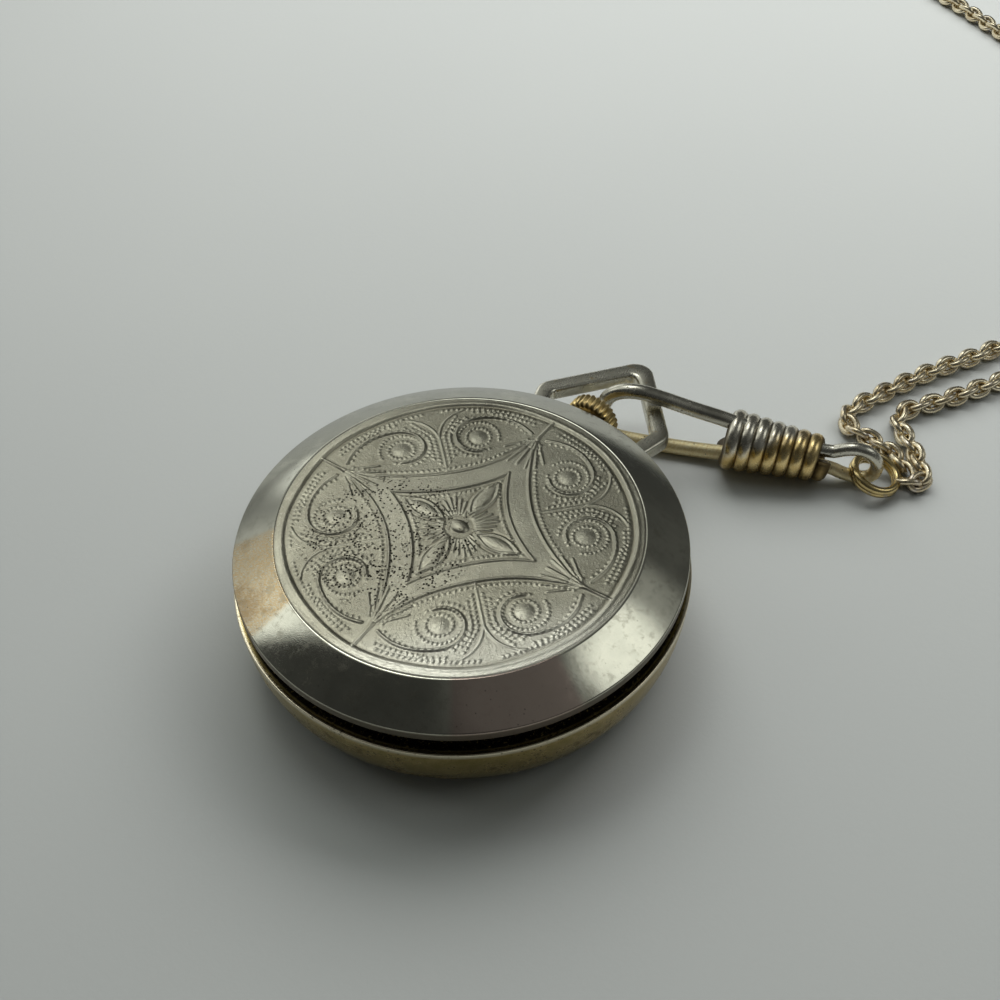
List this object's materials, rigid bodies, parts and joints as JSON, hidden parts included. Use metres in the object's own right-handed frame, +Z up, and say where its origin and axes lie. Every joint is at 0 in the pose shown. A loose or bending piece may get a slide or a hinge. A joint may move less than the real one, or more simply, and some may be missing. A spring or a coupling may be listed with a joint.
{
  "type": "pendant watch",
  "caption": "Wind-up pendant watch lying face down, with an engraved snap back, a five-sided bow, a wire clasp with a ribbed sleeve and a fine chain.",
  "frame": {"origin": "on the watch's axis, where the flat top of the crystal rests on the table", "axes": "+Z up, out of the engraved back; +Y towards 12 o'clock, the crown and the bow; the dial faces -Z"},
  "size_m": [0.0445, 0.1289, 0.009],
  "materials": {
    "silver": "satin nickel-silver, worn and pitted",
    "gold": "worn gold-coloured plate",
    "bow_silver": "polished silver-coloured metal",
    "brass_work": "brushed brass",
    "plate_work": "nickel-plated brass, grained",
    "steel": "hardened steel",
    "blued": "blued steel",
    "ruby": "ruby",
    "crystal": "clear acrylic",
    "dial": "silvered cream",
    "rubber": "matt black"
  },
  "bodies": {
    "case": {"front_case": "gold", "crystal": "crystal", "dial": "dial", "main_plate": "plate_work", "barrel_bridge": "plate_work", "train_bridge": "plate_work", "pallet_bridge": "plate_work", "balance_cock": "plate_work", "bridge_screws": "blued", "jewels": "ruby", "hairspring": "blued", "click_spring": "steel", "pendant_tube": "brass_work", "bow": "bow_silver", "chain_run_a": "gold", "chain_corner": "gold", "chain_coil": "gold", "chain_run_b": "gold"},
    "back": {"case_back": "silver"},
    "centre": {"centre_wheel": "brass_work", "centre_pinion": "steel", "cannon_pinion": "steel", "minute_hand": "blued"},
    "barrel": {"barrel_drum": "brass_work", "barrel_cover": "brass_work", "mainspring": "steel"},
    "third": {"third_wheel": "brass_work", "third_pinion": "steel"},
    "fourth": {"fourth_wheel": "brass_work", "fourth_pinion": "steel"},
    "escape": {"escape_wheel": "steel", "escape_pinion": "steel"},
    "minute_work": {"minute_wheel": "brass_work"},
    "hour": {"hour_wheel": "brass_work", "hour_hand": "blued"},
    "setting": {"setting_wheel": "steel"},
    "pull": {"crown_gasket": "rubber"},
    "yoke": {"yoke": "steel"},
    "lever": {"setting_lever": "steel"},
    "stem": {"crown": "gold", "winding_stem": "steel"},
    "winding": {"winding_pinion": "steel"},
    "clutch": {"sliding_pinion": "steel"},
    "crown_gear": {"crown_wheel": "steel"},
    "ratchet": {"ratchet_wheel": "steel", "ratchet_screw": "blued", "barrel_arbor": "steel"},
    "balance": {"balance_wheel": "brass_work", "balance_staff": "steel"},
    "pallet": {"pallet_fork": "steel", "pallet_stones": "ruby"},
    "click": {"click": "steel"},
    "regulator": {"regulator": "steel"},
    "clasp": {"clasp_wire": "bow_silver", "clasp_sleeve": "gold"},
    "ring": {"jump_ring": "gold"}
  },
  "joints": [
    {"name": "case_back_lift", "type": "slide", "parent": "case", "child": "back", "axis": [0, 0, 1], "range_m": [0, 0.012]},
    {"name": "minute_turn", "type": "hinge", "parent": "case", "child": "centre", "pos_m": [0, 0, 0.005], "axis": [0, 0, 1], "continuous": true},
    {"name": "barrel_turn", "type": "hinge", "parent": "case", "child": "barrel", "pos_m": [-0.00499, 0.00254, 0.005], "axis": [0, 0, 1], "continuous": true},
    {"name": "third_turn", "type": "hinge", "parent": "case", "child": "third", "pos_m": [0.00471, 0.00033, 0.005], "axis": [0, 0, 1], "continuous": true},
    {"name": "fourth_turn", "type": "hinge", "parent": "case", "child": "fourth", "pos_m": [0.00456, -0.004, 0.005], "axis": [0, 0, 1], "continuous": true},
    {"name": "escape_turn", "type": "hinge", "parent": "case", "child": "escape", "pos_m": [0.00142, -0.00582, 0.005], "axis": [0, 0, 1], "continuous": true},
    {"name": "minute_wheel_turn", "type": "hinge", "parent": "case", "child": "minute_work", "pos_m": [-0.00045, 0.00256, 0.005], "axis": [0, 0, 1], "continuous": true},
    {"name": "hour_turn", "type": "hinge", "parent": "case", "child": "hour", "pos_m": [0, 0, 0.005], "axis": [0, 0, 1], "continuous": true},
    {"name": "setting_wheel_turn", "type": "hinge", "parent": "case", "child": "setting", "pos_m": [0.0002, 0.00575, 0.005], "axis": [0, 0, 1], "continuous": true},
    {"name": "crown_pull", "type": "slide", "parent": "case", "child": "pull", "axis": [0, 1, 0], "range_m": [0, 0.0006]},
    {"name": "yoke_swing", "type": "hinge", "parent": "case", "child": "yoke", "pos_m": [-0.0033, 0.0081, 0.005], "axis": [0, 0, 1], "range_deg": [-3.57, 0]},
    {"name": "setting_lever_swing", "type": "hinge", "parent": "case", "child": "lever", "pos_m": [-0.0028, 0.0104, 0.005], "axis": [0, 0, 1], "range_deg": [0, 15.5]},
    {"name": "crown_turn", "type": "hinge", "parent": "pull", "child": "stem", "pos_m": [0, 0.016, 0.005], "axis": [0, 1, 0], "continuous": true},
    {"name": "winding_pinion_turn", "type": "hinge", "parent": "case", "child": "winding", "pos_m": [0, 0.009, 0.005], "axis": [0, 1, 0], "continuous": true},
    {"name": "clutch_turn", "type": "hinge", "parent": "yoke", "child": "clutch", "pos_m": [0, 0.0074, 0.005], "axis": [0, 1, 0], "continuous": true},
    {"name": "crown_wheel_turn", "type": "hinge", "parent": "case", "child": "crown_gear", "pos_m": [0, 0.006, 0.005], "axis": [0, 0, 1], "continuous": true},
    {"name": "ratchet_turn", "type": "hinge", "parent": "case", "child": "ratchet", "pos_m": [-0.00499, 0.00254, 0.005], "axis": [0, 0, 1], "continuous": true},
    {"name": "balance_turn", "type": "hinge", "parent": "case", "child": "balance", "pos_m": [-0.0036, -0.0061, 0.005], "axis": [0, 0, 1], "range_deg": [-270, 270], "stiffness_Nm_per_rad": 0.00000025},
    {"name": "pallet_swing", "type": "hinge", "parent": "case", "child": "pallet", "pos_m": [-0.00119, -0.00596, 0.005], "axis": [0, 0, 1], "range_deg": [-5, 5]},
    {"name": "click_lift", "type": "hinge", "parent": "case", "child": "click", "pos_m": [-0.00901, 0.00486, 0.005], "axis": [0, 0, 1], "range_deg": [0, 12], "stiffness_Nm_per_rad": 0.0001},
    {"name": "regulator_shift", "type": "hinge", "parent": "case", "child": "regulator", "pos_m": [-0.0036, -0.0061, 0.005], "axis": [0, 0, 1], "range_deg": [-15, 15]},
    {"name": "clasp_swing", "type": "hinge", "parent": "case", "child": "clasp", "pos_m": [0.00283, 0.02076, 0.00407], "axis": [0.6281, -0.7781, 0], "range_deg": [-25, 75]},
    {"name": "jump_ring_roll", "type": "hinge", "parent": "clasp", "child": "ring", "pos_m": [0.01872, 0.02623, 0.00107], "axis": [0.8956, 0.3084, -0.3206], "range_deg": [-18, 18]}
  ],
  "couplings": [
    {"joint": "barrel_turn", "follows": "minute_turn", "ratio": -0.16667},
    {"joint": "third_turn", "follows": "minute_turn", "ratio": -8},
    {"joint": "fourth_turn", "follows": "minute_turn", "ratio": 60},
    {"joint": "escape_turn", "follows": "minute_turn", "ratio": -600},
    {"joint": "minute_wheel_turn", "follows": "minute_turn", "ratio": -0.33333},
    {"joint": "hour_turn", "follows": "minute_turn", "ratio": 0.083333},
    {"joint": "setting_wheel_turn", "follows": "minute_turn", "ratio": 0.5},
    {"joint": "yoke_swing", "follows": "crown_pull", "rad_per_m": -101.01},
    {"joint": "setting_lever_swing", "follows": "crown_pull", "rad_per_m": 444},
    {"joint": "winding_pinion_turn", "follows": "crown_turn", "ratio": 1},
    {"joint": "clutch_turn", "follows": "crown_turn", "ratio": 1},
    {"joint": "crown_wheel_turn", "follows": "crown_turn", "ratio": -0.53846},
    {"joint": "ratchet_turn", "follows": "crown_turn", "ratio": 0.4}
  ]
}
